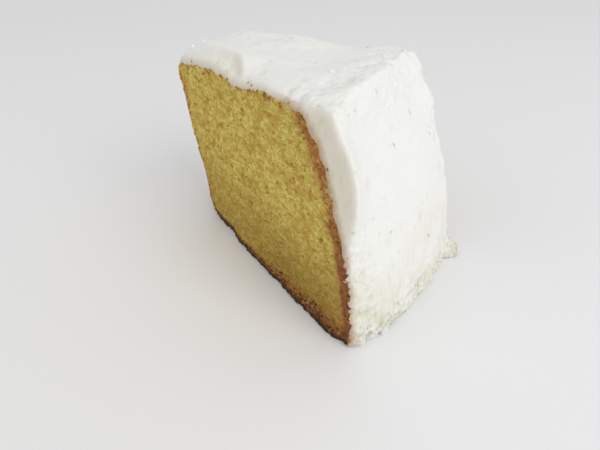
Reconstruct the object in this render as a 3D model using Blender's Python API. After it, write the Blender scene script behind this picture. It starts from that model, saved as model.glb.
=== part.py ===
"""One wedge of a lemon chiffon cake, cut from a ring that was baked in a tube pan.

The slice stands on its base. Two solids make it up: the sponge, with its crust, and the
whipped icing that covers its top and its outer side in one L-shaped layer. Both are worked
out in the ring's own terms: a radius from the middle of the ring, a height above the base,
and a turn that runs from the near cut to the far cut. +X points from the tip to the iced
side, the near cut faces -Y, and the origin is the middle of the slice's box, on its base.
"""
from math import cos, exp, hypot, pi, radians, sin

import bmesh
import bpy
from mathutils import Vector, noise

CM = 0.01

# The wedge as it was cut from the ring
WEDGE = radians(31.0)
NEAR_CUT_LEAN = 0.035

# The sponge: radii of the tube's hole and of the outer side, and heights of the top
HOLE_RADIUS_LOW = 2.70 * CM
HOLE_RADIUS_HIGH = 1.76 * CM
HOLE_TAPER_FROM = 1.2 * CM
HOLE_TAPER_TO = 5.2 * CM
SIDE_RADIUS = 11.15 * CM
SIDE_RADIUS_FAR = 10.85 * CM
SIDE_FLARE_AT_NEAR_CUT = 0.27 * CM
SIDE_CURVE = 0.056 / CM
SIDE_CURVE_AT_NEAR_CUT = 0.042 / CM
TIP_HEIGHT = 5.74 * CM
CROWN_HEIGHT = 6.54 * CM
CROWN_RADIUS = 8.6 * CM
SAG_DEPTH = 0.22 * CM
SAG_RADIUS = 6.0 * CM
SAG_WIDTH = 0.8 * CM
FAR_CUT_DROP = 0.12 * CM

# How far each long edge of the sponge is rounded, across and up
HOLE_BASE_EDGE = (1.15 * CM, 0.80 * CM)
SIDE_BASE_EDGE = (0.40 * CM, 0.42 * CM)
HOLE_TOP_EDGE = (0.32 * CM, 0.45 * CM)
SIDE_TOP_EDGE = (0.55 * CM, 0.45 * CM)

# The crumbly base crust that hangs out of the near cut, and the radii it runs between
BASE_CRUST_REACH = 0.12 * CM
BASE_CRUST_HEIGHT = 0.60 * CM
BASE_CRUST_FROM = 4.4 * CM
BASE_CRUST_TO = 11.2 * CM

# The icing: its skin over the top and down the outer side
GAP = 0.033 * CM
ICED_TIP_RADIUS = 2.42 * CM
ICED_TIP_RADIUS_FAR = 1.80 * CM
ICED_TIP_HEIGHT = 6.38 * CM
ICED_TIP_HEIGHT_FAR = 6.20 * CM
ICED_TOP_HEIGHT = 6.96 * CM
ICED_TOP_RISE = 1.0 * CM
RIDGE_RADIUS = 9.93 * CM
RIDGE_RADIUS_FAR = 8.98 * CM
RIDGE_SWING = 0.55 * CM
FAR_RIDGE_SWING = 0.42 * CM
RIDGE_RIM = 0.05 * CM
RIDGE_BLEND = 1.1 * CM
DIP_RADIUS = 7.3 * CM
DIP_DEPTH = 0.16 * CM
SKIN_AT_BASE = 0.56 * CM
SKIN_AT_TOP = 0.78 * CM
NEAR_SKIN_AT_BASE = 0.12 * CM
NEAR_SKIN_BULGE = 1.27 * CM
NEAR_BULGE_FROM = 2.7 * CM
NEAR_BULGE_TO = 5.9 * CM
FOOT_TUCK = 0.12 * CM
FOOT_HEIGHT = 0.55 * CM
FOOT_CLEARANCE = 0.03 * CM
NEAR_FOOT_LIFT = 0.09 * CM

# Where the icing is smeared down over the near cut's top edge
SMEAR_FROM = 5.95 * CM
SMEAR_TO = 9.7 * CM
SMEAR_WIDTH = 1.2 * CM
SMEARED_SKIN = 0.13 * CM
EDGE_ROUNDING = 0.22 * CM

# The lump of icing left at the foot of the far corner
LUMP_TURN = radians(29.8)
LUMP_REACH = 0.56 * CM
LUMP_WIDTH = 0.36 * CM
LUMP_HEIGHT = 0.50 * CM

# Unevenness of the surfaces, as depth and spacing
CUT_RELIEF = (0.045 * CM, 0.9 * CM)
HOLE_RELIEF = (0.11 * CM, 1.3 * CM)
SKIN_RELIEF = (0.055 * CM, 1.1 * CM)
RIDGE_RELIEF = (0.14 * CM, 0.75 * CM)
FOOT_RELIEF = (0.07 * CM, 0.6 * CM)

# Faces across the sponge, up it, through the icing, and from cut to cut
ACROSS = 32
UP = 22
THROUGH = 2
ALONG = 16
EDGE_CROWDING = 0.55

SPONGE_COLOUR = (0.60, 0.42, 0.11, 1.0)
ICING_COLOUR = (0.86, 0.85, 0.80, 1.0)


def mix(first, last, share):
    return first + (last - first) * share


def ramp(low, high, value):
    """Rise smoothly from 0 at low to 1 at high."""
    share = min(1.0, max(0.0, (value - low) / (high - low)))
    return share * share * (3.0 - 2.0 * share)


def hump(middle, width, value):
    """A bell of height 1 at the middle."""
    return exp(-((value - middle) / width) ** 2)


def near_share(turn, reach):
    """How much of the form at the near cut is left at a turn."""
    return exp(-turn / reach)


def crowded(share, crowding=EDGE_CROWDING):
    """Even steps from 0 to 1 made closer together at both ends."""
    return share - crowding * sin(2.0 * pi * share) / (2.0 * pi)


def uneven(point, relief, channel=0.0):
    """Relief of a depth and a spacing at a point in the slice."""
    depth, spacing = relief
    shifted = Vector(point) / spacing + Vector((channel, 7.3, 2.9))
    return depth * noise.noise(shifted)


def hole_radius(height):
    taper = ramp(HOLE_TAPER_FROM, HOLE_TAPER_TO, height)
    return mix(HOLE_RADIUS_LOW, HOLE_RADIUS_HIGH, taper)


def side_radius(height, turn):
    """The outer side leans in towards the top, less so at the near cut."""
    foot = mix(SIDE_RADIUS, SIDE_RADIUS_FAR, turn / WEDGE)
    foot += SIDE_FLARE_AT_NEAR_CUT * near_share(turn, radians(4.0))
    curve = mix(SIDE_CURVE, SIDE_CURVE_AT_NEAR_CUT, near_share(turn, radians(3.0)))
    return foot - curve * height * height


def top_height(radius, turn):
    """The sponge rises from the tip to its crown, with a shallow sag on the way."""
    reach = min(1.0, max(0.0, (radius - HOLE_RADIUS_HIGH) / (CROWN_RADIUS - HOLE_RADIUS_HIGH)))
    rise = sin(0.5 * pi * reach) ** 0.8
    height = mix(TIP_HEIGHT, CROWN_HEIGHT, rise)
    height -= SAG_DEPTH * hump(SAG_RADIUS, SAG_WIDTH, radius)
    return height - FAR_CUT_DROP * ramp(0.0, WEDGE, turn)


def section_size(turn):
    """Width and height of the sponge's section, for the size of its rounded edges."""
    width = side_radius(0.0, turn) - HOLE_RADIUS_LOW
    return width, top_height(CROWN_RADIUS, turn)


def rounded(across, up, turn):
    """Round the corners of the unit square that the section is mapped from.

    The direction is the way out of a corner, across and up, or None away from corners.
    """
    width, height = section_size(turn)
    right, high = across > 0.5, up > 0.5
    if high:
        edge = SIDE_TOP_EDGE if right else HOLE_TOP_EDGE
    else:
        edge = SIDE_BASE_EDGE if right else HOLE_BASE_EDGE
    reach_across, reach_up = edge[0] / width, edge[1] / height
    from_side = (1.0 - across if right else across) / reach_across
    from_end = (1.0 - up if high else up) / reach_up
    if from_side >= 1.0 or from_end >= 1.0:
        return across, up, None
    side, end = 1.0 - from_side, 1.0 - from_end
    length = hypot(side, end)
    pull = max(side, end) / length
    new_side = (1.0 - side * pull) * reach_across
    new_end = (1.0 - end * pull) * reach_up
    way_out = (side / length if right else -side / length, end / length if high else -end / length)
    return (1.0 - new_side if right else new_side), (1.0 - new_end if high else new_end), way_out


def sponge_section(across, up, turn):
    """Radius and height of a point of the sponge's section, from its place in the square."""
    over = mix(HOLE_RADIUS_HIGH, side_radius(CROWN_HEIGHT, turn), across)
    height = up * top_height(over, turn)
    radius = mix(hole_radius(height), side_radius(height, turn), across)
    return radius, height


def place(radius, height, turn):
    """A point of the slice, with the ring's middle at the origin and +X halfway between cuts."""
    angle = turn - 0.5 * WEDGE
    lean = NEAR_CUT_LEAN * height * (1.0 - turn / WEDGE)
    x = radius * cos(angle) - lean * sin(0.5 * WEDGE)
    y = radius * sin(angle) - lean * cos(0.5 * WEDGE)
    return Vector((x, y, height))


def sponge_point(column, row, layer):
    """Where a grid point of the sponge's surface lies."""
    across, up = crowded(column / ACROSS), crowded(row / UP)
    turn = WEDGE * crowded(layer / ALONG)
    across, up, _ = rounded(across, up, turn)
    radius, height = sponge_section(across, up, turn)
    point = place(radius, height, turn)
    if column == 0:
        radius += uneven(point, HOLE_RELIEF) * ramp(0.0, 1.0 * CM, height)
    if layer in (0, ALONG) and row > 0:
        turn += uneven(point, CUT_RELIEF, channel=layer) / radius
    if layer == 0:
        turn -= base_crust(radius, height) / radius
    return place(radius, height, turn)


def base_crust(radius, height):
    """How far the torn base crust stands out of the near cut."""
    run = ramp(BASE_CRUST_FROM, BASE_CRUST_FROM + 1.0 * CM, radius)
    run *= 1.0 - ramp(BASE_CRUST_TO - 0.6 * CM, BASE_CRUST_TO, radius)
    return BASE_CRUST_REACH * run * (1.0 - ramp(0.1 * CM, BASE_CRUST_HEIGHT, height))


def under_icing(share_top, share_side, turn):
    """A point just off the sponge, along its top and then down its outer side."""
    across, up, way_out = rounded(share_top, share_side, turn)
    if way_out is None:
        way_out = (0.0, 1.0) if share_side == 1.0 else (1.0, 0.0)
    radius, height = sponge_section(across, up, turn)
    return radius + GAP * way_out[0], height + GAP * way_out[1]


def iced_top(radius, turn):
    """Height of the icing's skin over the top."""
    tip = mix(ICED_TIP_RADIUS, ICED_TIP_RADIUS_FAR, turn / WEDGE)
    start = mix(ICED_TIP_HEIGHT, ICED_TIP_HEIGHT_FAR, turn / WEDGE)
    height = mix(start, ICED_TOP_HEIGHT, 1.0 - exp((tip - radius) / ICED_TOP_RISE))
    height -= DIP_DEPTH * hump(DIP_RADIUS, 1.0 * CM, radius) * ramp(0.0, WEDGE, turn)
    return height + RIDGE_RIM * hump(ridge_radius(turn), 0.5 * CM, radius)


def ridge_radius(turn):
    """The ridge where top and side meet swings out at both cuts, most at the near one."""
    settled = mix(RIDGE_RADIUS, RIDGE_RADIUS_FAR, turn / WEDGE)
    settled += FAR_RIDGE_SWING * near_share(WEDGE - turn, radians(2.5))
    return settled + RIDGE_SWING * near_share(turn, radians(2.3))


def skin_depth(height, turn):
    """How thick the icing stands off the outer side."""
    settled = mix(SKIN_AT_BASE, SKIN_AT_TOP, ramp(0.0, ICED_TOP_HEIGHT, height))
    bulge = NEAR_SKIN_BULGE * ramp(NEAR_BULGE_FROM, NEAR_BULGE_TO, height)
    return mix(settled, NEAR_SKIN_AT_BASE + bulge, near_share(turn, radians(5.0)))


def iced_side(height, turn):
    """Radius of the icing's skin down the outer side, which ends at the ridge."""
    ridge = ridge_radius(turn)
    ridge_height = iced_top(ridge, turn)
    radius = side_radius(height, turn) + skin_depth(height, turn)
    at_ridge = side_radius(ridge_height, turn) + skin_depth(ridge_height, turn)
    join = ramp(ridge_height - RIDGE_BLEND, ridge_height, height)
    radius += (ridge - at_ridge) * join
    tuck = FOOT_TUCK * near_share(turn, radians(3.0))
    radius -= tuck * max(0.0, 1.0 - height / FOOT_HEIGHT) ** 2
    arc = (turn - LUMP_TURN) * radius
    lump = exp(-(arc / LUMP_WIDTH) ** 4 - (height / LUMP_HEIGHT) ** 4)
    return radius + LUMP_REACH * lump


def smear(radius, height, turn):
    """Bring the skin down to the sponge along the near cut, as a spatula left it."""
    distance = radius * turn
    band = ramp(SMEAR_FROM, SMEAR_FROM + 0.5 * CM, radius)
    band *= 1.0 - ramp(SMEAR_TO - 0.9 * CM, SMEAR_TO, radius)
    fall = max(0.0, 1.0 - distance / SMEAR_WIDTH) ** 2
    smeared = top_height(radius, turn) + SMEARED_SKIN
    return mix(height, min(height, smeared), band * fall)


def edge_fall(radius, turn):
    """How far the skin rounds off within a short way of either cut."""
    distance = min(turn, WEDGE - turn) * radius
    return 0.4 * EDGE_ROUNDING * max(0.0, 1.0 - distance / EDGE_ROUNDING) ** 2


def icing_skin(share_top, share_side, turn):
    """Radius and height of the outer face of the icing."""
    ridge = ridge_radius(turn)
    tip = mix(ICED_TIP_RADIUS, ICED_TIP_RADIUS_FAR, turn / WEDGE)
    if share_side == 1.0:
        radius = mix(tip, ridge, share_top)
        height = smear(radius, iced_top(radius, turn), turn)
        height -= edge_fall(radius, turn)
    else:
        foot = FOOT_CLEARANCE + NEAR_FOOT_LIFT * near_share(turn, radians(2.0))
        height = mix(foot, iced_top(ridge, turn), share_side)
        radius = iced_side(height, turn) - edge_fall(ridge, turn)
    point = place(radius, height, turn)
    on_ridge = hump(ridge, 0.7 * CM, radius) * ramp(5.4 * CM, 6.6 * CM, height)
    low = 1.0 - ramp(0.2 * CM, 1.3 * CM, height)
    raised = uneven(point, SKIN_RELIEF, channel=3.0) * (1.0 - low)
    raised += uneven(point, RIDGE_RELIEF, channel=5.0) * on_ridge
    outward = uneven(point, FOOT_RELIEF, channel=9.0) * low * ramp(0.0, radians(4.0), turn)
    flat_top = ramp(6.0 * CM, 6.6 * CM, height)
    radius += outward + raised * (1.0 - flat_top)
    return radius, height + raised * flat_top


def icing_point(step, depth, layer):
    """Where a grid point of the icing lies: along its section, through it, cut to cut."""
    share_top = crowded(min(step, ACROSS) / ACROSS)
    share_side = crowded(1.0 - max(0, step - ACROSS) / UP)
    turn = WEDGE * crowded(layer / ALONG)
    inner = under_icing(share_top, share_side, turn)
    outer = icing_skin(share_top, share_side, turn)
    share = depth / THROUGH
    radius = mix(inner[0], outer[0], share)
    height = mix(inner[1], outer[1], share)
    return place(radius, height, turn)


def block(name, counts, point_at, material):
    """A closed solid on the six sides of a grid, each grid point placed by a function."""
    mesh = bmesh.new()
    corners = {}

    def corner(index):
        if index not in corners:
            corners[index] = mesh.verts.new(point_at(*index))
        return corners[index]

    for fixed in range(3):
        first, second = [axis for axis in range(3) if axis != fixed]
        for end in (0, counts[fixed]):
            for i in range(counts[first]):
                for j in range(counts[second]):
                    quad = []
                    for step_i, step_j in ((0, 0), (1, 0), (1, 1), (0, 1)):
                        index = [end, end, end]
                        index[first] = i + step_i
                        index[second] = j + step_j
                        quad.append(corner(tuple(index)))
                    mesh.faces.new(quad)
    bmesh.ops.recalc_face_normals(mesh, faces=mesh.faces)
    data = bpy.data.meshes.new(name)
    mesh.to_mesh(data)
    mesh.free()
    data.materials.append(material)
    solid = bpy.data.objects.new(name, data)
    bpy.context.scene.collection.objects.link(solid)
    return solid


def food(name, colour, roughness):
    """A plain matt food material."""
    material = bpy.data.materials.new(name)
    material.use_nodes = True
    surface = material.node_tree.nodes["Principled BSDF"]
    surface.inputs["Base Color"].default_value = colour
    surface.inputs["Roughness"].default_value = roughness
    surface.inputs["Metallic"].default_value = 0.0
    return material


def stand_on_base(solids):
    """Move the solids so that the middle of their box, on its base, is the origin."""
    points = [vertex.co for solid in solids for vertex in solid.data.vertices]
    low = Vector(min(point[axis] for point in points) for axis in range(3))
    high = Vector(max(point[axis] for point in points) for axis in range(3))
    middle = Vector((0.5 * (low.x + high.x), 0.5 * (low.y + high.y), low.z))
    for solid in solids:
        for vertex in solid.data.vertices:
            vertex.co -= middle
        solid.data.shade_smooth()
        solid.data.set_sharp_from_angle(angle=radians(40.0))


for old in list(bpy.data.objects):
    bpy.data.objects.remove(old, do_unlink=True)

sponge = block("sponge", (ACROSS, UP, ALONG), sponge_point, food("sponge", SPONGE_COLOUR, 0.9))
icing_counts = (ACROSS + UP, THROUGH, ALONG)
icing = block("icing", icing_counts, icing_point, food("icing", ICING_COLOUR, 0.6))
stand_on_base([sponge, icing])
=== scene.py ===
from math import cos, radians, sin

import bmesh
import bpy
from mathutils import Matrix, Vector, noise
from mathutils.bvhtree import BVHTree


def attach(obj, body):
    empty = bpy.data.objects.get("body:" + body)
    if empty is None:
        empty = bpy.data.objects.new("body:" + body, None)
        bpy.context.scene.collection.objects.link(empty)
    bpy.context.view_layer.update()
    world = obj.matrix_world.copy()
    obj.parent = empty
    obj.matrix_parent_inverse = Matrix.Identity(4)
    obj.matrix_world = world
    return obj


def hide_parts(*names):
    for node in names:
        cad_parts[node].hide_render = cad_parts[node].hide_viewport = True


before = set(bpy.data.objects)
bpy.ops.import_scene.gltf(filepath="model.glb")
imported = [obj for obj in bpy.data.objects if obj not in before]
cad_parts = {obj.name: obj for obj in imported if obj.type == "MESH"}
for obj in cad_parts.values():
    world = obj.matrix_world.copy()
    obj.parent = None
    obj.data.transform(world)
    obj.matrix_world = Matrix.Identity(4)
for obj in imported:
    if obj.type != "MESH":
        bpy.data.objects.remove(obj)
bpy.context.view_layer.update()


# The sponge, a wedge of lemon chiffon cake from a tube pan. Its crumb is open and yellow
# where the knife went, and it has a browned crust on its outer side, its base and round the
# tube's hole. It is baked as one piece, so crumb and crust are one mesh.
RING_MIDDLE = Vector((-0.0665023, 0.00037182, 0.0))
HALF_WEDGE = radians(15.5)
WALLS = ("near", "far", "top", "base", "side", "hole")
CRUMB_SIZES = {
    "Cell Size": 0.0011,
    "Cell Depth": 0.00045,
    "Hole Size": 0.0026,
    "Hole Depth": 0.0010,
    "Grain Size": 0.0008,
    "Grain Depth": 0.00030,
    "Lump Size": 0.0055,
    "Lump Depth": 0.00050,
    "Crust Grain Size": 0.0021,
    "Crust Grain Depth": 0.00065,
    "Base Swell": 0.0005,
}


class Signal:
    """A value that varies over a surface: one output socket, with its arithmetic."""

    def __init__(self, recipe, socket):
        self.recipe = recipe
        self.socket = socket

    def maths(self, operation, first, second):
        return self.recipe.node("ShaderNodeMath", {"operation": operation}, {0: first, 1: second})

    def __add__(self, other):
        return self.maths("ADD", self, other)

    def __radd__(self, other):
        return self.maths("ADD", other, self)

    def __sub__(self, other):
        return self.maths("SUBTRACT", self, other)

    def __rsub__(self, other):
        return self.maths("SUBTRACT", other, self)

    def __mul__(self, other):
        return self.maths("MULTIPLY", self, other)

    def __rmul__(self, other):
        return self.maths("MULTIPLY", other, self)

    def __truediv__(self, other):
        return self.maths("DIVIDE", self, other)

    def __rtruediv__(self, other):
        return self.maths("DIVIDE", other, self)

    def least(self, other):
        return self.maths("MINIMUM", self, other)

    def most(self, other):
        return self.maths("MAXIMUM", self, other)


HOLE_WALL = (0.12, 0.52)
SHUT_FADE = 0.35


class Recipe:
    """A node tree, of a material or of a piece's geometry."""

    def __init__(self, tree):
        self.tree = tree

    def node(self, kind, settings, sockets, output=0):
        """One node: its settings first, then the values or links of its sockets."""
        made = self.tree.nodes.new(kind)
        for name, value in settings.items():
            setattr(made, name, value)
        for name, value in sockets.items():
            socket = self.find(made.inputs, name)
            if isinstance(value, Signal):
                self.tree.links.new(value.socket, socket)
            else:
                socket.default_value = (*value, 1.0) if socket.type == "RGBA" else value
        if isinstance(output, tuple):
            return [Signal(self, self.find(made.outputs, name)) for name in output]
        return Signal(self, self.find(made.outputs, output))

    @staticmethod
    def find(sockets, name):
        """A socket by its place, or the one in use by its name."""
        if isinstance(name, int):
            return sockets[name]
        return next(socket for socket in sockets if socket.name == name and socket.enabled)

    def rise(self, value, low, high):
        """0 below low and 1 above high, smooth between them."""
        sockets = {"Value": value, "From Min": low, "From Max": high}
        return self.node("ShaderNodeMapRange", {"interpolation_type": "SMOOTHSTEP"}, sockets)

    def fall(self, value, low, high):
        """1 below low and 0 above high, smooth between them."""
        return 1.0 - self.rise(value, low, high)

    def vector(self, operation, first, second):
        return self.node("ShaderNodeVectorMath", {"operation": operation}, {0: first, 1: second})

    def scaled(self, vector, factor):
        sockets = {"Vector": vector, "Scale": factor}
        return self.node("ShaderNodeVectorMath", {"operation": "SCALE"}, sockets)

    def part(self, vector, letter):
        return self.node("ShaderNodeSeparateXYZ", {}, {"Vector": vector}, letter)

    def blotches(self, where, size, seed=0.0, detail=2.0, roughness=0.5, output=0):
        """Cloudy noise from 0 to 1 whose spots are about a size across."""
        settings = {"noise_dimensions": "4D"}
        sockets = {"Vector": where, "W": seed, "Scale": 1.0 / size}
        sockets.update({"Detail": detail, "Roughness": roughness})
        return self.node("ShaderNodeTexNoise", settings, sockets, output)

    def spots(self, where, size, low, high, **cloud):
        """Soft-edged spots, where cloudy noise rises from low to high."""
        return self.rise(self.blotches(where, size, **cloud), low, high)

    def wander(self, where, size, reach, seed):
        """A place moved about by noise, so that what is laid out on it loses its order."""
        cloud = self.blotches(where, size, seed, output="Color")
        moved = self.vector("SUBTRACT", cloud, (0.5, 0.5, 0.5))
        return self.vector("ADD", where, self.scaled(moved, reach * 2.0))

    def holes(self, where, size, seed, shut):
        """Round holes in scattered cells: 1 in an open cell's middle and 0 at its wall. Each
        cell has a number from 0 to 1, and those below shut stay closed."""
        settings = {"voronoi_dimensions": "4D", "feature": "F1"}
        sockets = {"Vector": where, "W": seed, "Scale": 1.0 / size}
        away, tone = self.node("ShaderNodeTexVoronoi", settings, sockets, ("Distance", "Color"))
        number = self.part(tone, "X")
        return self.fall(away, *HOLE_WALL) * self.rise(number, shut, shut + SHUT_FADE)


class Finish(Recipe):
    """A food finish: a material whose shader is fed by signals over the surface."""

    def __init__(self, name, gloss):
        self.material = bpy.data.materials.new(name)
        self.material.use_nodes = True
        super().__init__(self.material.node_tree)
        self.shader = self.tree.nodes["Principled BSDF"]
        for socket, value in gloss.items():
            self.shader.inputs[socket].default_value = value
        self.place = self.node("ShaderNodeTexCoord", {}, {}, "Object")

    def mix(self, share, first, second):
        """A colour between two."""
        sockets = {"Factor": share, "A": first, "B": second}
        return self.node("ShaderNodeMix", {"data_type": "RGBA"}, sockets, "Result")

    def attribute(self, name):
        return self.node("ShaderNodeAttribute", {"attribute_name": name}, {}, "Fac")

    def feed(self, socket, signal):
        self.tree.links.new(signal.socket, self.shader.inputs[socket])

    def bump(self, height, distance, strength):
        sockets = {"Strength": strength, "Distance": distance, "Height": height}
        self.feed("Normal", self.node("ShaderNodeBump", {}, sockets))


def put(name, data):
    """A new object in the scene."""
    made = bpy.data.objects.new(name, data)
    bpy.context.scene.collection.objects.link(made)
    return made


def plain_mesh(holder):
    """The mesh that an object's modifiers make. The object itself is removed."""
    depsgraph = bpy.context.evaluated_depsgraph_get()
    mesh = bpy.data.meshes.new_from_object(holder.evaluated_get(depsgraph), depsgraph=depsgraph)
    bpy.data.objects.remove(holder)
    return mesh


FULL_TURN = 6.28


class Making(Recipe):
    """A piece's geometry as a tree with named sizes, run on a mesh and kept as a plain one."""

    def __init__(self, name, sizes):
        super().__init__(bpy.data.node_groups.new(name, "GeometryNodeTree"))
        self.sizes = sizes
        named = self.tree.interface
        for way in ("INPUT", "OUTPUT"):
            named.new_socket("Geometry", in_out=way, socket_type="NodeSocketGeometry")
        self.sockets = {}
        for size, value in sizes.items():
            socket = named.new_socket(size, in_out="INPUT", socket_type="NodeSocketFloat")
            socket.default_value = value
            self.sockets[size] = socket.identifier
        self.inputs = self.tree.nodes.new("NodeGroupInput")
        self.outputs = self.tree.nodes.new("NodeGroupOutput")
        self.geometry = Signal(self, self.inputs.outputs["Geometry"])
        self.place = self.node("GeometryNodeInputPosition", {}, {})
        self.normal = self.node("GeometryNodeInputNormal", {}, {})

    def size(self, name):
        return Signal(self, self.inputs.outputs[name])

    def attribute(self, name):
        settings = {"data_type": "FLOAT"}
        return self.node("GeometryNodeInputNamedAttribute", settings, {"Name": name}, "Attribute")

    def store(self, geometry, name, value, domain="POINT"):
        settings = {"data_type": "FLOAT", "domain": domain}
        sockets = {"Geometry": geometry, "Name": name, "Value": value}
        return self.node("GeometryNodeStoreNamedAttribute", settings, sockets)

    def push_out(self, geometry, distance):
        """Move the surface along its normals."""
        sockets = {"Geometry": geometry, "Offset": self.scaled(self.normal, distance)}
        return self.node("GeometryNodeSetPosition", {}, sockets)

    def chance(self, low, high, seed):
        """A number for each point, drawn evenly between two."""
        sockets = {"Min": low, "Max": high, "Seed": seed}
        return self.node("FunctionNodeRandomValue", {"data_type": "FLOAT"}, sockets, "Value")

    def scatter(self, density, radius, rounds, smallest, largest, seed, squash):
        """Small balls laid over the surface, each turned, sized and numbered by chance. Rounds
        is how often a ball's faces are split."""
        sockets = {"Radius": self.size(radius), "Subdivisions": rounds}
        lump = self.node("GeometryNodeMeshIcoSphere", {}, sockets, "Mesh")
        sockets = {"Mesh": self.geometry, "Density": density, "Seed": seed}
        outputs = ("Points", "Rotation")
        points, lie = self.node("GeometryNodeDistributePointsOnFaces", {}, sockets, outputs)
        turn = self.node("ShaderNodeCombineXYZ", {}, {"Z": self.chance(0.0, FULL_TURN, seed + 1)})
        turn = self.node("FunctionNodeRotateRotation", {"rotation_space": "LOCAL"}, {0: lie, 1: turn})
        size = self.scaled(squash, self.chance(smallest, largest, seed + 2))
        sockets = {"Points": points, "Instance": lump, "Rotation": turn, "Scale": size}
        copies = self.node("GeometryNodeInstanceOnPoints", {}, sockets)
        return self.store(copies, "tone", self.chance(0.0, 1.0, seed + 3), "INSTANCE")

    def bend(self, size, seed, *lumps):
        """Join the scattered lumps, and push each point about so that no two are alike."""
        joined = self.tree.nodes.new("GeometryNodeJoinGeometry")
        for lump in lumps:
            self.tree.links.new(lump.socket, joined.inputs[0])
        geometry = Signal(self, joined.outputs[0])
        geometry = self.node("GeometryNodeRealizeInstances", {}, {"Geometry": geometry})
        moved = self.wander(self.place, size, self.size("Bend"), seed)
        return self.node("GeometryNodeSetPosition", {}, {"Geometry": geometry, "Position": moved})

    def run(self, geometry, base, name, material):
        """Close the tree, run it on a base mesh and keep the result as a plain mesh object."""
        joined = self.node("GeometryNodeRealizeInstances", {}, {"Geometry": geometry})
        painted = self.node("GeometryNodeSetMaterial", {}, {"Geometry": joined, "Material": material})
        self.tree.links.new(painted.socket, self.outputs.inputs["Geometry"])
        holder = put(name + "_base", base)
        modifier = holder.modifiers.new(name, "NODES")
        modifier.node_group = self.tree
        for size, identifier in self.sockets.items():
            modifier[identifier] = self.sizes[size]
        mesh = plain_mesh(holder)
        mesh.name = name
        return put(name, mesh)


MERGE_REACH = 1e-6


def merged_copy(node):
    """A node's own mesh with its loose triangles joined up again."""
    copy = bmesh.new()
    copy.from_mesh(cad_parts[node].data)
    bmesh.ops.remove_doubles(copy, verts=copy.verts, dist=MERGE_REACH)
    bmesh.ops.recalc_face_normals(copy, faces=copy.faces)
    return copy


NEAR_CUT_WAY = Vector((-sin(HALF_WEDGE), -cos(HALF_WEDGE), 0.0))
FAR_CUT_WAY = Vector((-sin(HALF_WEDGE), cos(HALF_WEDGE), 0.0))
CUT_WALL_FACING = 0.85
LEVEL_WALL_FACING = 0.75


def wall_of(face):
    """Which wall of the wedge a face belongs to, by the way it faces."""
    if face.normal.dot(NEAR_CUT_WAY) > CUT_WALL_FACING:
        return "near"
    if face.normal.dot(FAR_CUT_WAY) > CUT_WALL_FACING:
        return "far"
    if abs(face.normal.z) > LEVEL_WALL_FACING:
        return "top" if face.normal.z > 0.0 else "base"
    outward = face.calc_center_median() - RING_MIDDLE
    return "side" if face.normal.x * outward.x + face.normal.y * outward.y > 0.0 else "hole"


def mark_walls(solid):
    """Write each face's wall in a layer, and keep a tree of each wall's faces for distances."""
    layer = solid.faces.layers.int.new("wall")
    points = [vertex.co.copy() for vertex in solid.verts]
    solid.verts.index_update()
    faces = {wall: [] for wall in WALLS}
    for face in solid.faces:
        wall = wall_of(face)
        face[layer] = WALLS.index(wall)
        faces[wall].append([vertex.index for vertex in face.verts])
    trees = {wall: BVHTree.FromPolygons(points, faces[wall]) for wall in WALLS}
    return layer, trees


def split_wall(solid, layer, wall, splits):
    """Split a wall's faces into a finer grid."""
    faces = [face for face in solid.faces if face[layer] == WALLS.index(wall)]
    edges = {edge for face in faces for edge in face.edges}
    bmesh.ops.subdivide_edges(solid, edges=list(edges), cuts=splits, use_grid_fill=True)


def write_attribute(mesh, name, values):
    mesh.attributes.new(name, "FLOAT", "POINT").data.foreach_set("value", values)


NEAR_CUT_SPLITS = 7
FAR_CUT_SPLITS = 5
HOLE_SPLITS = 3
CUT_EDGE_RELIEF = 0.6


def make_sponge_base():
    """The wedge with its cuts split finely, and each point's distance from every wall."""
    solid = merged_copy("sponge")
    layer, trees = mark_walls(solid)
    split_wall(solid, layer, "near", NEAR_CUT_SPLITS)
    split_wall(solid, layer, "far", FAR_CUT_SPLITS)
    split_wall(solid, layer, "hole", HOLE_SPLITS)
    bmesh.ops.triangulate(solid, faces=solid.faces)
    cut_walls = {WALLS.index("near"), WALLS.index("far")}
    hidden_walls = {WALLS.index("side"), WALLS.index("top")}
    marks = {"rough": [], "cut": [], "near": []}
    for vertex in solid.verts:
        walls = {face[layer] for face in vertex.link_faces}
        on_cut = walls <= cut_walls
        edge_relief = 0.0 if walls <= hidden_walls else CUT_EDGE_RELIEF
        marks["rough"].append(1.0 if on_cut else edge_relief)
        marks["cut"].append(float(on_cut))
        marks["near"].append(float(WALLS.index("near") in walls))
    mesh = bpy.data.meshes.new("sponge_base")
    solid.to_mesh(mesh)
    solid.free()
    for name, values in marks.items():
        write_attribute(mesh, name, values)
    for wall in ("side", "base", "top", "hole"):
        distances = [trees[wall].find_nearest(vertex.co)[3] for vertex in mesh.vertices]
        write_attribute(mesh, "to_" + wall, distances)
    return mesh


CELL_SPREAD = (0.72, 0.72, 1.10)
MOTTLE_SIZE = 0.0011
SHADE_SIZE = 0.0095
AMBER_SIZE = 0.0026
TOASTED_SIZE = 0.0034
SPOT_SIZE = 0.0040
FLECK_SIZE = 0.0017
FLECKED_SIZE = 0.0110
DENSE_AND_SHADE_RISE = (0.001, 0.038)
DENSE_AND_SHADE_WANDER = 0.016
DENSE_AND_SHADE_FROM_SIDE = (0.025, 0.065)
TOASTED_RISE = (0.034, 0.056)
SPOT_RISE = (0.012, 0.026)
CRUMB_YELLOW = (0.595, 0.445, 0.088)
CRUMB_PALE = (0.86, 0.725, 0.220)
CRUMB_AMBER = (0.54, 0.325, 0.062)
CRUMB_DENSE_AND_SHADED = (0.285, 0.165, 0.028)
CRUMB_DENSE_AND_SHADED_PALE = (0.450, 0.290, 0.058)
CRUST_ORANGE = (0.50, 0.225, 0.060)
CRUST_BROWN = (0.375, 0.140, 0.050)
TOASTED_FLECK = (0.45, 0.175, 0.045)


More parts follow.
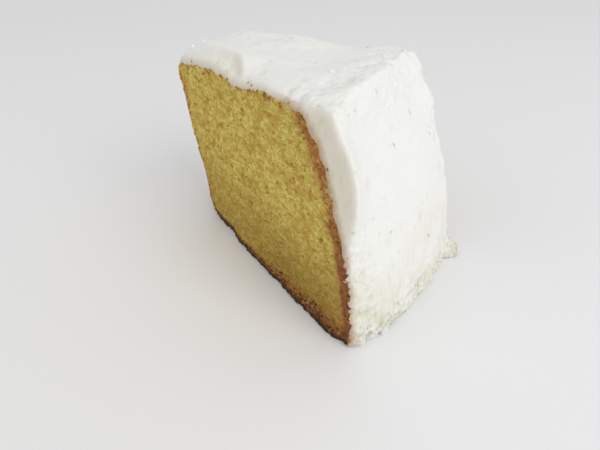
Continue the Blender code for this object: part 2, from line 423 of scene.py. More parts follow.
def crumb_colour(finish, tone=0.5):
    """Yellow crumb, pale, amber or toasted in places, and darker and browner to the base, where
    the crumb is denser and shade is painted.
    """
    place = finish.vector("MULTIPLY", finish.place, CELL_SPREAD)
    mottle = finish.blotches(place, MOTTLE_SIZE, seed=2.0, detail=4.0, roughness=0.75)
    shade = finish.blotches(place, SHADE_SIZE, seed=1.0, detail=3.0)
    amber = finish.spots(place, AMBER_SIZE, 0.46, 0.64, seed=14.0, detail=3.0, roughness=0.6)
    lighter = mottle + (tone - 0.5) * 0.22
    colour = finish.mix(finish.rise(lighter, 0.38, 0.66), CRUMB_YELLOW, CRUMB_PALE)
    colour = finish.mix(amber * 0.75, colour, CRUMB_AMBER)
    to_base = finish.attribute("to_base")
    # Darker and browner towards the base and the side: partly a denser crumb, partly painted shade.
    dense = finish.fall(to_base + (shade - 0.5) * DENSE_AND_SHADE_WANDER, *DENSE_AND_SHADE_RISE)
    dense = dense * (0.98 - finish.rise(finish.attribute("to_side"), *DENSE_AND_SHADE_FROM_SIDE) * 0.38)
    denser_and_shaded = finish.mix(finish.rise(lighter, 0.36, 0.64), CRUMB_DENSE_AND_SHADED, CRUMB_DENSE_AND_SHADED_PALE)
    colour = finish.mix((dense + finish.rise(shade, 0.52, 0.75) * 0.14).least(1.0), colour, denser_and_shaded)
    toasted = finish.spots(place, TOASTED_SIZE, 0.52, 0.66, seed=25.0, detail=4.0, roughness=0.7)
    high = finish.rise(finish.part(finish.place, "Z"), *TOASTED_RISE)
    colour = finish.mix(toasted * (high * 0.42 + 0.12), colour, CRUST_ORANGE)
    spot = finish.spots(place, SPOT_SIZE, 0.615, 0.70, seed=23.0, detail=3.0, roughness=0.6)
    colour = finish.mix(spot * finish.fall(to_base, *SPOT_RISE) * 0.55, colour, CRUST_BROWN)
    fleck = finish.spots(place, FLECK_SIZE, 0.60, 0.68, seed=8.0)
    flecked = finish.spots(place, FLECKED_SIZE, 0.36, 0.58, seed=9.0)
    return finish.mix(fleck * flecked * 0.75, colour, TOASTED_FLECK), shade


BASE_FRINGE = 0.0024
BASE_FRINGE_GROWTH = 0.0036
BASE_FRINGE_SPAN = (0.010, 0.060)


def base_fringe(recipe, to_side):
    """How far up the base's browning reaches, which is further towards the side."""
    return recipe.fall(to_side, *BASE_FRINGE_SPAN) * BASE_FRINGE_GROWTH + BASE_FRINGE


SIDE_CRUST = 0.0033
SIDE_FRINGE = 0.0056
BASE_CRUST = 0.0013
HOLE_CRUST = (0.0008, 0.0060)
TOP_CRUST = (0.0003, 0.0018)
TOP_CRUST_SIZE = 0.0032
BASE_RIM_SHADOW = (0.0010, 0.0036)
BASE_RIM_SHADOW_WANDER = 0.0030
CRUST_WANDER = 0.0040
CRUST_WANDER_SIZE = 0.0042
CRUST_TEAR = 0.0024
CRUST_TEAR_SIZE = 0.0012
CRUST_MOTTLE_SIZE = 0.0015
CRUST_GAP_SIZE = 0.0034
ORANGE_RISE = (0.034, 0.052)
GAP_RISE = (0.024, 0.042)
BROKEN_RISE = (0.030, 0.046)
CRUST_DARK = (0.125, 0.050, 0.023)
CRUST_TAN = (0.50, 0.30, 0.085)
CRUST_RIM_AND_SHADOW = (0.062, 0.032, 0.018)


def crust_over(finish, colour, shade):
    """Browned crust over the crumb, broken and fading where the knife tore it."""
    place = finish.place
    height = finish.part(place, "Z")
    wide = finish.blotches(place, CRUST_WANDER_SIZE, seed=4.0, detail=3.0, roughness=0.6) - 0.5
    torn = finish.blotches(place, CRUST_TEAR_SIZE, seed=15.0, detail=3.0, roughness=0.7) - 0.5
    loose = wide * CRUST_WANDER + torn * CRUST_TEAR
    to_side = finish.attribute("to_side")
    from_side = to_side + loose
    from_base = finish.attribute("to_base") + loose * 0.7
    from_hole = finish.attribute("to_hole") + loose
    from_top = finish.attribute("to_top") + loose * 0.6
    dark = finish.spots(place, CRUST_MOTTLE_SIZE, 0.40, 0.66, seed=3.0, detail=3.0, roughness=0.65)
    crust = finish.mix(dark * 0.8, CRUST_BROWN, CRUST_DARK)
    high = finish.rise(height, *ORANGE_RISE)
    crust = finish.mix(high * finish.rise(torn, -0.12, 0.06) * 0.7, crust, CRUST_ORANGE)
    gaps = finish.spots(place, CRUST_GAP_SIZE, 0.49, 0.60, seed=29.0, detail=4.0, roughness=0.75)
    kept = 1.0 - gaps * finish.rise(height, *GAP_RISE) * 0.80
    fringe = finish.fall(from_side, SIDE_CRUST * 0.8, SIDE_FRINGE) * 0.85 * kept
    browned = finish.mix(finish.rise(wide, -0.10, 0.10), CRUST_TAN, CRUST_ORANGE)
    colour = finish.mix(fringe, colour, browned)
    broken = finish.rise(wide + torn * 0.9, -0.07, 0.07).most(finish.fall(height, *BROKEN_RISE))
    core = finish.fall(from_side, SIDE_CRUST * 0.8, SIDE_CRUST * 1.2)
    colour = finish.mix(core * (broken * 0.75 + 0.22) * kept, colour, crust)
    fringe = finish.fall(from_base / base_fringe(finish, to_side), 0.55, 1.15)
    bits = finish.rise(torn + wide * 0.4, -0.10, 0.10)
    browned = finish.mix(bits, CRUST_DARK, finish.mix(dark, CRUST_BROWN, CRUST_TAN))
    colour = finish.mix(fringe * 0.9, colour, browned)
    core = finish.fall(from_base, BASE_CRUST * 0.5, BASE_CRUST * 1.5)
    colour = finish.mix(core, colour, CRUST_DARK)
    browned = finish.mix(finish.rise(shade + torn * 0.8, 0.46, 0.66), CRUST_ORANGE, CRUST_BROWN)
    patch = finish.rise(wide + torn * 0.4, -0.08, 0.10)
    colour = finish.mix(finish.fall(from_hole, *HOLE_CRUST) * patch * 0.75, colour, browned)
    patch = finish.spots(place, TOP_CRUST_SIZE, 0.52, 0.64, seed=6.0)
    colour = finish.mix(finish.fall(from_top, *TOP_CRUST) * patch * 0.8, colour, CRUST_BROWN)
    # A near-black rim along the floor: partly dark crust, partly painted contact shadow.
    rim_and_shadow = finish.fall(height + torn * BASE_RIM_SHADOW_WANDER, *BASE_RIM_SHADOW)
    return finish.mix(rim_and_shadow * 0.8, colour, CRUST_RIM_AND_SHADOW)


CRUMB_PORE_SHADE = (0.33, 0.190, 0.030)
CRUMB_BUMP_SIZE = 0.0005
CRUMB_BUMP = 0.00045
CRUMB_GLOSS = {"Roughness": 0.92, "Specular IOR Level": 0.18}


def sponge_finish():
    """Crumb and crust in one finish, with painted shade in the pores."""
    finish = Finish("lemon_crumb", CRUMB_GLOSS)
    pore = finish.attribute("pore")
    colour, shade = crumb_colour(finish)
    # Painted shade: the crumb's colour is darkened in its pores.
    colour = finish.mix(finish.rise(pore, 0.15, 0.95) * 0.80, colour, CRUMB_PORE_SHADE)
    finish.feed("Base Color", crust_over(finish, colour, shade))
    fine = finish.blotches(finish.place, CRUMB_BUMP_SIZE, seed=11.0, detail=3.0, roughness=0.7)
    finish.bump(fine - pore * 0.4, CRUMB_BUMP, 1.0)
    return finish.material


CELL_WANDER = 0.0011
CELL_WANDER_SIZE = 0.0020
CELLS_SHUT = 0.18
HOLES_SHUT = 0.52
DENSE_RELIEF_RISE = (0.004, 0.022)
SIDE_CRUST_RELIEF = (0.0015, 0.0040)
BASE_CRUST_RELIEF = (0.0012, 0.0040)
SWELL_RISE = (0.0010, 0.0060)
SWELL_INNER_END = (-0.025, -0.008)
SWELL_OUTER_END = (0.036, 0.043)


def make_sponge(base, finish):
    """The cuts with their cells, torn holes, grain and lumps, and the crust a little knobbly."""
    making = Making("open_crumb", CRUMB_SIZES)
    place = making.place
    along = making.part(place, "X")
    from_base = making.attribute("to_base")
    dense = making.fall(from_base, *DENSE_RELIEF_RISE)
    crusted = making.fall(making.attribute("to_side"), *SIDE_CRUST_RELIEF)
    crusted = crusted.most(making.fall(from_base, *BASE_CRUST_RELIEF))
    spread = making.wander(place, CELL_WANDER_SIZE, CELL_WANDER, 21.0)
    spread = making.vector("MULTIPLY", spread, CELL_SPREAD)
    cells = making.holes(spread, making.size("Cell Size"), 3.0, CELLS_SHUT)
    holes = making.holes(spread, making.size("Hole Size"), 5.0, HOLES_SHUT)
    holes = holes * (1.0 - dense * 0.6)
    grain = making.blotches(spread, making.size("Grain Size"), seed=7.0, roughness=0.6)
    lumps = making.blotches(place, making.size("Lump Size"), seed=9.0)
    crust_grain = making.blotches(place, making.size("Crust Grain Size"), seed=13.0)
    relief = (grain - 0.5) * 2.0 * making.size("Grain Depth")
    relief = relief + (lumps - 0.5) * 2.0 * making.size("Lump Depth")
    relief = relief + (crust_grain - 0.5) * 2.0 * making.size("Crust Grain Depth") * crusted
    swell = making.fall(from_base, *SWELL_RISE) * making.rise(along, *SWELL_INNER_END)
    swell = swell * making.fall(along, *SWELL_OUTER_END) * making.attribute("near")
    relief = relief + swell * (crust_grain + 0.35) * making.size("Base Swell")
    open_share = 1.0 - crusted * 0.7
    relief = relief - (cells * making.size("Cell Depth") + holes * making.size("Hole Depth")) * open_share
    geometry = making.store(making.geometry, "pore", (cells * 0.75).most(holes) * open_share)
    geometry = making.push_out(geometry, relief * making.attribute("rough"))
    return making.run(geometry, base, "cut_sponge", finish)


def keep_off_floor(piece):
    """Flatten what would dip below the floor."""
    for vertex in piece.data.vertices:
        vertex.co.z = max(0.0, vertex.co.z)


sponge_base = make_sponge_base()
crumb_material = sponge_finish()
sponge = make_sponge(sponge_base, crumb_material)
keep_off_floor(sponge)
sponge.data.shade_smooth()
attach(sponge, "root")
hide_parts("sponge")


# The crumb grains: torn bits of the same crumb that stand on both cuts, and browned bits of
# crust that the knife dragged along their edges. They are loose and uneven.
GRAIN_SIZES = {
    "Grain Radius": 0.00042,
    "Grains Per Area": 0.62e6,
    "Crust Bit Radius": 0.00046,
    "Crust Bits Per Area": 1.35e6,
    "Bend": 0.00042,
}
LIGHT_BIT_RISE = (0.022, 0.042)
LIGHT_BIT_HOLE = (0.002, 0.007)
GRAIN_BUMP_SIZE = 0.0004
GRAIN_BUMP = 0.0003
GRAIN_GLOSS = {"Roughness": 0.95, "Specular IOR Level": 0.15}


def grain_finish():
    """Crumb and crust as on the sponge, each grain with its own tone."""
    finish = Finish("crumb_grain", GRAIN_GLOSS)
    tone = finish.attribute("tone")
    colour, shade = crumb_colour(finish, tone)
    colour = finish.mix(finish.fall(tone, 0.05, 0.25) * 0.6, colour, CRUMB_AMBER)
    colour = finish.mix(finish.rise(tone, 0.955, 0.965) * 0.85, colour, TOASTED_FLECK)
    colour = crust_over(finish, colour, shade)
    browned = finish.mix(finish.rise(tone, 0.0, 0.60), CRUST_DARK, CRUST_BROWN)
    browned = finish.mix(finish.rise(tone, 0.80, 0.84) * 0.75, browned, CRUST_TAN)
    height = finish.part(finish.place, "Z")
    light = finish.fall(finish.attribute("to_hole"), *LIGHT_BIT_HOLE)
    light = light.most(finish.rise(height, *LIGHT_BIT_RISE))
    browned = finish.mix(light * 0.75, browned, CRUST_ORANGE)
    # Grains along the floor get the same near-black rim: partly dark crust, partly painted contact
    # shadow.
    browned = finish.mix(finish.fall(height, *BASE_RIM_SHADOW) * 0.8, browned, CRUST_RIM_AND_SHADOW)
    finish.feed("Base Color", finish.mix(finish.attribute("browned"), colour, browned))
    finish.bump(finish.blotches(finish.place, GRAIN_BUMP_SIZE, seed=11.0), GRAIN_BUMP, 0.8)
    return finish.material


GRAIN_SQUASH = (1.0, 0.8, 0.6)
CRUST_BIT_SQUASH = (1.0, 0.8, 0.75)
GRAIN_BEND_SIZE = 0.0011
EDGE_PATCH_SIZE = 0.0050
TOP_EDGE = (0.0008, 0.0030)
HIGH_SIDE_EDGE = (0.0020, 0.0050)
HIGH_SIDE_RISE = (0.022, 0.036)
SIDE_EDGE = (0.0004, 0.0022)
HOLE_EDGE = (0.0008, 0.0036)


def make_grains(surface, finish):
    """Crumb between the pores all over both cuts, and browned bits along their edges."""
    making = Making("crumb_grains", GRAIN_SIZES)
    cut = making.attribute("cut")
    from_side = making.attribute("to_side")
    density = making.size("Grains Per Area") * cut * making.fall(making.attribute("pore"), 0.2, 0.6)
    grains = making.scatter(density, "Grain Radius", 1, 0.45, 1.25, 30, GRAIN_SQUASH)
    grains = making.store(grains, "browned", 0.0, "INSTANCE")
    patch = making.spots(making.place, EDGE_PATCH_SIZE, 0.50, 0.62, seed=31.0, detail=3.0)
    edge = making.fall(making.attribute("to_top"), *TOP_EDGE) * patch * 0.45
    high = making.rise(making.part(making.place, "Z"), *HIGH_SIDE_RISE)
    edge = edge.most(making.fall(from_side, *HIGH_SIDE_EDGE) * (patch * 0.5 + 0.2) * high)
    edge = edge.most(making.fall(from_side, *SIDE_EDGE) * patch * 0.3)
    edge = edge.most(making.fall(making.attribute("to_hole"), *HOLE_EDGE) * (patch * 0.7 + 0.1))
    from_base = making.attribute("to_base") / base_fringe(making, from_side)
    edge = edge.most(making.fall(from_base, 0.4, 1.1))
    density = making.size("Crust Bits Per Area") * edge * cut
    bits = making.scatter(density, "Crust Bit Radius", 1, 0.5, 1.5, 40, CRUST_BIT_SQUASH)
    bits = making.store(bits, "browned", 1.0, "INSTANCE")
    grains = making.bend(GRAIN_BEND_SIZE, 33.0, grains, bits)
    return making.run(grains, surface, "crumb_grains", finish)


grain_material = grain_finish()
grains = make_grains(sponge.data.copy(), grain_material)
keep_off_floor(grains)
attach(grains, "root")


# The icing. Whipped white icing was spread over the cake's top and side with a spatula, then
# cut with the slice: one soft L-shaped layer. Its skin has spatula streaks, pits, a lumpy
# ridge and a ragged foot, and it lies against the sponge.
ICING_SIZES = {
    "Lump Size": 0.0080,
    "Lump Depth": 0.00045,
    "Streak Width": 0.0016,
    "Streak Length": 0.0090,
    "Streak Depth": 0.00030,
    "Froth Size": 0.0023,
    "Froth Depth": 0.00195,
    "Ridge Lump Size": 0.0036,
    "Ridge Lump Depth": 0.0017,
    "Pit Spacing": 0.0050,
    "Pit Depth": 0.0005,
    "Whip Size": 0.0010,
    "Whip Depth": 0.00007,
    "Corner Swell": 0.0020,
    "Knob Size": 0.0034,
    "Knob Depth": 0.0011,
}


ICING_GRAIN = 0.00046


def rounded_evenly(solid):
    """A cage made round by a Subdivision Surface, then made anew of small even faces."""
    cage = bpy.data.meshes.new("icing_cage")
    solid.to_mesh(cage)
    solid.free()
    holder = put("icing_cage", cage)
    rounded = holder.modifiers.new("rounded", "SUBSURF")
    rounded.levels = rounded.render_levels = 2
    even = holder.modifiers.new("even", "REMESH")
    even.mode = "VOXEL"
    even.voxel_size = ICING_GRAIN
    return plain_mesh(holder)


NEAR_CUT_LEAN = 0.035


def behind_near_cut(point):
    """How far a point lies behind the plane of the near cut, which leans a little."""
    return NEAR_CUT_LEAN * point.z - (point - RING_MIDDLE).dot(NEAR_CUT_WAY)


def share_between(value, low, high):
    """0 at low and 1 at high, smooth between them."""
    share = max(0.0, min(1.0, (value - low) / (high - low)))
    return share * share * (3.0 - 2.0 * share)


SOFT_REACH = 0.007
SOFTENINGS = 15
ICING_THIN = 0.0024
TIP_LEAN = 0.0042
TIP_LEAN_RISE = (0.0600, 0.0695)
TIP_LEAN_RADIUS = (0.052, 0.068)


def soften_near_cut(solid, inside):
    """Round the icing's edges at the near cut, and lean the tip's cut side back."""
    loose = []
    for vertex in solid.verts:
        behind = behind_near_cut(vertex.co)
        if inside.find_nearest(vertex.co)[3] > ICING_THIN and behind < SOFT_REACH:
            loose.append(vertex)
            radius = (vertex.co - RING_MIDDLE).xy.length
            lean = TIP_LEAN * (1.0 - share_between(radius, *TIP_LEAN_RADIUS))
            lean = lean * share_between(vertex.co.z, *TIP_LEAN_RISE)
            lean = lean * (1.0 - share_between(behind, 0.0, SOFT_REACH))
            vertex.co = vertex.co - NEAR_CUT_WAY * lean
    axes = {"use_axis_x": True, "use_axis_y": True, "use_axis_z": True}
    for _ in range(SOFTENINGS):
        bmesh.ops.smooth_vert(solid, verts=loose, factor=0.5, **axes)


ICING_TOUCH = 0.0006
DRAWN_HEIGHT = 0.040
DRAWN_DEPTH = 0.004
DRAWN_CREASE = 0.0
SHARP_CREASE = 0.62
HELD_CREASE = 1.0


def crease_of(middle, thick):
    """How sharp a corner stays: soft where the knife drew the icing out, and sharp where it is
    thin beside the sponge."""
    if thick > ICING_TOUCH and behind_near_cut(middle) < DRAWN_DEPTH:
        if thick > ICING_THIN or middle.z > DRAWN_HEIGHT:
            return DRAWN_CREASE
    return SHARP_CREASE if thick > ICING_THIN else HELD_CREASE


CREASE_ANGLE = radians(38.0)
ICING_HOLD = 0.0005
CUT_SIDE_FACING = 0.3
PULL_FACING = (0.5, 0.95)
CUT_FACING = (0.70, 0.92)
EDGE_GAP = 0.00033
EDGE_LAP = 0.0001
EDGE_WAVE = 0.0011
EDGE_WAVE_SIZE = 0.0040
EDGE_REACH = 0.0010
WIDE_EDGE_REACH = 0.0025
WIDE_FACET = (0.028, 0.044)
EDGE_LIFT = 0.00035


def make_icing_base():
    """The layer made round, held just inside the sponge where it touches it, with its cut
    sides pulled in to meet the sponge and told from its skin."""
    core = merged_copy("sponge")
    inside = BVHTree.FromBMesh(core)
    core.free()
    solid = merged_copy("icing")
    crease = solid.edges.layers.float.new("crease_edge")
    for edge in solid.edges:
        if len(edge.link_faces) == 2 and edge.calc_face_angle() > CREASE_ANGLE:
            middle = (edge.verts[0].co + edge.verts[1].co) / 2.0
            edge[crease] = crease_of(middle, inside.find_nearest(middle)[3])
    mesh = rounded_evenly(solid)
    fine = bmesh.new()
    fine.from_mesh(mesh)
    soften_near_cut(fine, inside)
    bmesh.ops.triangulate(fine, faces=fine.faces)
    fine.to_mesh(mesh)
    fine.free()
    marks = {"skin": [], "cut": [], "inner": [], "to_sponge": []}
    ways = [vertex.normal.copy() for vertex in mesh.vertices]
    for vertex, way in zip(mesh.vertices, ways):
        touch, normal, _, distance = inside.find_nearest(vertex.co)
        along = max(way.dot(NEAR_CUT_WAY), way.dot(FAR_CUT_WAY))
        held = distance < ICING_TOUCH and along < CUT_SIDE_FACING
        if held:
            vertex.co = touch - normal * ICING_HOLD
        elif along > CUT_SIDE_FACING:
            wide = share_between(touch.z, *WIDE_FACET)
            lap = (EDGE_LAP + EDGE_WAVE * noise.noise(touch / EDGE_WAVE_SIZE)) * wide
            reach = EDGE_REACH + WIDE_EDGE_REACH * wide
            pull = (EDGE_GAP + lap) * max(0.0, 1.0 - max(0.0, distance - EDGE_GAP) / reach)
            if distance > ICING_TOUCH:
                pull = pull * share_between(along, *PULL_FACING)
            lift = EDGE_LIFT * max(0.0, 1.0 - distance / reach)
            vertex.co = vertex.co + (touch - vertex.co).normalized() * pull + way * lift
        on_cut = 1.0 if held else share_between(along, *CUT_FACING)
        for name, value in zip(marks, (1.0 - on_cut, on_cut, float(held), distance)):
            marks[name].append(value)
    for name, values in marks.items():
        write_attribute(mesh, name, values)
    return mesh


ICING_WHITE = (0.885, 0.885, 0.868)
ICING_CREAM = (0.815, 0.795, 0.700)
ICING_ZESTY = (0.70, 0.690, 0.40)
ICING_SHADE = (0.70, 0.68, 0.53)
ICING_CREVICE_SHADE = (0.50, 0.485, 0.31)
ICING_CUT_TINT_AND_SHADE = (0.765, 0.705, 0.565)
ICING_CRUMBED = (0.52, 0.34, 0.215)
CREAM_SIZE = 0.0120
CREAM_RISE = (0.006, 0.044)
CREVICE_SHADE_RISE = (0.003, 0.012)
SHADE_CLEAR_BACK = (-0.014, 0.016)
DRAG_SIZE = 0.0013
DRAG_STRETCH = (1.0, 1.0, 0.22)
SHRED_SIZE = 0.0014
SHRED_STRETCH = (1.0, 1.0, 0.40)
TEAR_SIZE = 0.0016
TEAR_WANDER = 0.0020
CRUMBED_REACH = (0.0002, 0.0029)
CRUMBED_ALONG = (0.004, 0.022)
SUNK_ZEST_SIZE = 0.0018
SUNK_ZEST_PATCH = 0.0110
WHIP_BUMP_SIZE = 0.0007
WHIP_BUMP = 0.00022
ICING_GLOSS = {
    "Roughness": 0.55,
    "Specular IOR Level": 0.35,
    "Subsurface Weight": 0.15,
    "Subsurface Radius": (1.0, 0.85, 0.6),
    "Subsurface Scale": 0.0020,
}


def icing_finish():
    """White, creamier and streaked low on the side, crumbed beside the sponge, and with faint
    marks where zest lies under. Shade is painted along the low streaks, in the hollows and
    pits, and on the cut side."""
    finish = Finish("whipped_icing", ICING_GLOSS)
    place = finish.place
    height = finish.part(place, "Z")
    cream = finish.spots(place, CREAM_SIZE, 0.35, 0.65, seed=2.0, detail=3.0)
    low = finish.fall(height, *CREAM_RISE)
    colour = finish.mix(low * cream * 0.8, ICING_WHITE, ICING_CREAM)
    streak = finish.attribute("streak")
    # Painted shade along the streaks low on the side.
    colour = finish.mix(low * finish.rise(streak, 0.45, 0.75) * 0.50, colour, ICING_SHADE)
    froth = finish.attribute("froth")
    # Painted shade in the hollows of the froth and between the ridge's lumps, deepest near the foot and
    # weaker towards the back.
    crevice_shade = finish.mix(finish.rise(height, *CREVICE_SHADE_RISE), ICING_CREVICE_SHADE, ICING_SHADE)
    shade_cleared = finish.rise(finish.part(place, "Y"), *SHADE_CLEAR_BACK) * 0.6
    colour = finish.mix(finish.fall(froth, 0.30, 0.62) * (0.92 - shade_cleared), colour, crevice_shade)
    cut = finish.attribute("cut")
    # The cut side is painted darker and yellower: partly a tint from zest and crumb, partly painted
    # shade.
    colour = finish.mix(cut * 0.75, colour, ICING_CUT_TINT_AND_SHADE)
    dragged = finish.vector("MULTIPLY", place, DRAG_STRETCH)
    dragged = finish.spots(dragged, DRAG_SIZE, 0.52, 0.72, seed=17.0)
    colour = finish.mix(cut * dragged * 0.45, colour, ICING_SHADE)
    shred = finish.vector("MULTIPLY", place, SHRED_STRETCH)
    shred = finish.spots(shred, SHRED_SIZE, 0.59, 0.72, seed=27.0, detail=1.0)
    colour = finish.mix(cut * shred * 0.75, colour, ICING_ZESTY)
    torn = finish.blotches(place, TEAR_SIZE, seed=15.0, detail=3.0, roughness=0.7) - 0.5
    from_sponge = finish.attribute("to_sponge") + torn * TEAR_WANDER
    crumbed = finish.fall(from_sponge, *CRUMBED_REACH) * finish.rise(cut, 0.01, 0.20)
    beside = finish.rise(finish.part(place, "X"), *CRUMBED_ALONG)
    colour = finish.mix(crumbed * (beside * 0.55 + 0.30), colour, ICING_CRUMBED)
    under = finish.spots(place, SUNK_ZEST_SIZE, 0.64, 0.74, seed=5.0, detail=1.0)
    patch = finish.spots(place, SUNK_ZEST_PATCH, 0.42, 0.60, seed=6.0)
    colour = finish.mix(under * patch * 0.45, colour, ICING_ZESTY)
    # Painted shade in the pits.
    colour = finish.mix(finish.attribute("pit") * 0.35, colour, ICING_SHADE)
    finish.feed("Base Color", colour)
    fine = finish.blotches(place, WHIP_BUMP_SIZE, seed=12.0, detail=3.0, roughness=0.6)
    finish.bump(fine, WHIP_BUMP, 0.7)
    return finish.material


CUT_BLUR = 16
CUT_RELIEF = 0.22
OUTER_RADIUS = (0.086, 0.098)
STREAK_TOP = 0.050
BESIDE_CUT = (radians(-14.5), radians(-9.5))
FROTH_TOP = 0.020
FROTH_TOP_BESIDE_CUT = 0.042
FROTH_PATCH_SIZE = 0.0090
PITS_SHUT = 0.55
CREST_FACING = (0.56, 0.76)
CREST_LEVEL = (0.95, 0.99)
CREST_RISE = (0.044, 0.050)
RIDGE_RISE = (0.0565, 0.0625)
RIDGE_RADIUS = (0.080, 0.086)
FAR_TURN = (radians(8.0), radians(14.5))
CORNER_RISE = (0.046, 0.055)
CORNER_TOP = (0.0640, 0.0685)
CORNER_SIZE = 0.0050
KNOB_RISE = (0.026, 0.044)


def make_icing(base, finish):
    """Streaks and froth on the side, lumps along the ridge and the far corner, and pits."""
    making = Making("spread_icing", ICING_SIZES)
    place = making.place
    from_ring = making.vector("SUBTRACT", place, RING_MIDDLE)
    height = making.part(from_ring, "Z")
    across = making.part(from_ring, "X")
    back = making.part(from_ring, "Y")
    turn = making.node("ShaderNodeMath", {"operation": "ARCTAN2"}, {0: back, 1: across})
    flat = making.vector("MULTIPLY", from_ring, (1.0, 1.0, 0.0))
    radius = making.node("ShaderNodeVectorMath", {"operation": "LENGTH"}, {"Vector": flat}, "Value")
    soft = {"Value": making.attribute("cut"), "Iterations": CUT_BLUR}
    cut = making.node("GeometryNodeBlurAttribute", {"data_type": "FLOAT"}, soft, "Value")
    geometry = making.store(making.geometry, "cut", cut)
    cut = making.attribute("cut")
    skin = 1.0 - cut
    round_ring = turn * radius / making.size("Streak Width")
    shares = {"X": round_ring, "Z": height / making.size("Streak Length")}
    streak_place = making.node("ShaderNodeCombineXYZ", {}, shares)
    streak = making.blotches(streak_place, 1.0, seed=2.0, detail=3.0)
    outer = making.rise(radius, *OUTER_RADIUS)
    low = making.fall(height, STREAK_TOP * 0.4, STREAK_TOP) * outer
    froth_top = making.fall(turn, *BESIDE_CUT) * FROTH_TOP_BESIDE_CUT + FROTH_TOP
    froth_share = making.fall(height / froth_top, 0.25, 1.0) * outer
    froth_patch = making.spots(place, FROTH_PATCH_SIZE, 0.30, 0.60, seed=16.0)
    froth = making.blotches(place, making.size("Froth Size"), seed=4.0, detail=3.0, roughness=0.62)
    lumps = making.blotches(place, making.size("Lump Size"), seed=1.0)
    whip = making.blotches(place, making.size("Whip Size"), seed=6.0)
    pits = making.holes(place, making.size("Pit Spacing"), 8.0, PITS_SHUT)
    facing_up = making.part(making.normal, "Z")
    crest = making.rise(facing_up, *CREST_FACING) * making.fall(facing_up, *CREST_LEVEL)
    crest = crest * making.rise(height, *CREST_RISE)
    ridge = making.rise(height, *RIDGE_RISE) * 0.6
    ridge = ridge.most(crest) * making.rise(radius, *RIDGE_RADIUS)
    ridge_lump = making.size("Ridge Lump Size")
    ridge_lumps = making.blotches(place, ridge_lump, seed=18.0, detail=3.0, roughness=0.55)
    far = making.rise(turn, *FAR_TURN)
    corner = making.rise(height, *CORNER_RISE) * making.fall(height, *CORNER_TOP) * outer
    swell = far * corner * (making.blotches(place, CORNER_SIZE, seed=19.0) + 0.5)
    relief = (lumps - 0.5) * 2.0 * making.size("Lump Depth")
    relief = relief + (streak - 0.5) * 2.0 * making.size("Streak Depth") * low
    froth_depth = making.size("Froth Depth") * froth_share * (froth_patch * 0.75 + 0.25)
    relief = relief + (froth - 0.45) * 2.0 * froth_depth
    relief = relief + (ridge_lumps - 0.45) * 2.0 * making.size("Ridge Lump Depth") * ridge
    relief = relief + (whip - 0.5) * 2.0 * making.size("Whip Depth")
    relief = relief + swell * making.size("Corner Swell")
    knobbly = far * making.rise(height, *KNOB_RISE) * outer
    knobs = making.blotches(place, making.size("Knob Size"), seed=20.0)
    relief = relief + (knobs - 0.45) * 2.0 * making.size("Knob Depth") * knobbly
    relief = relief - pits * making.size("Pit Depth") * (1.0 - ridge)
    geometry = making.store(geometry, "streak", streak)
    # The froth attribute is 1 less the hollows, where the finish paints shade in the froth and between
    # the ridge's lumps.
    hollow_shade = ((1.0 - froth) * froth_share).most((0.94 - ridge_lumps) * crest * outer)
    geometry = making.store(geometry, "froth", 1.0 - hollow_shade)
    geometry = making.store(geometry, "pit", pits * skin)
    geometry = making.push_out(geometry, relief * (skin + cut * CUT_RELIEF))
    return making.run(geometry, base, "spread_icing", finish)


icing_material = icing_finish()
icing = make_icing(make_icing_base(), icing_material)
keep_off_floor(icing)
icing.data.shade_smooth()
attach(icing, "root")
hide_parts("icing")


# The icing lumps: soft blobs of the same icing, left where the spatula lifted off along the
# ridge, the far edge, the tip and the foot, and smeared thinly over the edges of both cuts.
BLOB_SIZES = {
    "Blob Radius": 0.00095,
    "Foot Blobs Per Area": 0.34e6,
    "Ridge Blobs Per Area": 0.018e6,
    "Edge Blobs Per Area": 0.10e6,
    "Bend": 0.0009,
}
BLOB_SQUASH = (1.0, 0.8, 0.6)
BLOB_BEND_SIZE = 0.0022
BLOB_PATCH_SIZE = 0.0060
BLOB_ALONG = (0.012, 0.022)
FOOT_RISE = (0.0010, 0.0130)
RIDGE_BLOB_RISE = (0.0640, 0.0668)
FAR_EDGE_BACK = (0.0240, 0.0265)
FAR_EDGE_RISE = (0.036, 0.046)
TIP_ALONG = (-0.040, -0.030)
TIP_RISE = (0.060, 0.064)


def make_blobs(surface, finish):
    making = Making("icing_blobs", BLOB_SIZES)
    along, back, height = (making.part(making.place, letter) for letter in "XYZ")
    patch = making.spots(making.place, BLOB_PATCH_SIZE, 0.42, 0.60, seed=51.0)
    outer = making.rise(along, *BLOB_ALONG)
    foot = making.fall(height, *FOOT_RISE) * outer * (patch * 0.7 + 0.3)
    ridge = making.rise(height, *RIDGE_BLOB_RISE) * outer * patch
    far_edge = making.rise(back, *FAR_EDGE_BACK) * making.rise(height, *FAR_EDGE_RISE) * outer
    tip = making.fall(along, *TIP_ALONG) * making.rise(height, *TIP_RISE)
    edges = far_edge.most(tip * 0.35) * (patch * 0.8 + 0.2) * making.size("Edge Blobs Per Area")
    density = foot * making.size("Foot Blobs Per Area")
    density = density.most(ridge * making.size("Ridge Blobs Per Area")).most(edges)
    density = density * making.attribute("skin")
    blobs = making.scatter(density, "Blob Radius", 2, 0.4, 1.25, 50, BLOB_SQUASH)
    blobs = making.bend(BLOB_BEND_SIZE, 53.0, blobs)
    return making.run(blobs, surface, "icing_blobs", finish)


SMEAR_SIZES = {
    "Smear Radius": 0.00080,
    "Smears Per Area": 0.22e6,
    "Bend": 0.0008,
}
SMEAR_SQUASH = (1.0, 0.7, 0.32)
SMEAR_BEND_SIZE = 0.0020
SMEAR_PATCH_SIZE = 0.0065
SMEAR_FROM_TOP = (0.0006, 0.0022)
SMEAR_FROM_SIDE = (0.0004, 0.0012)


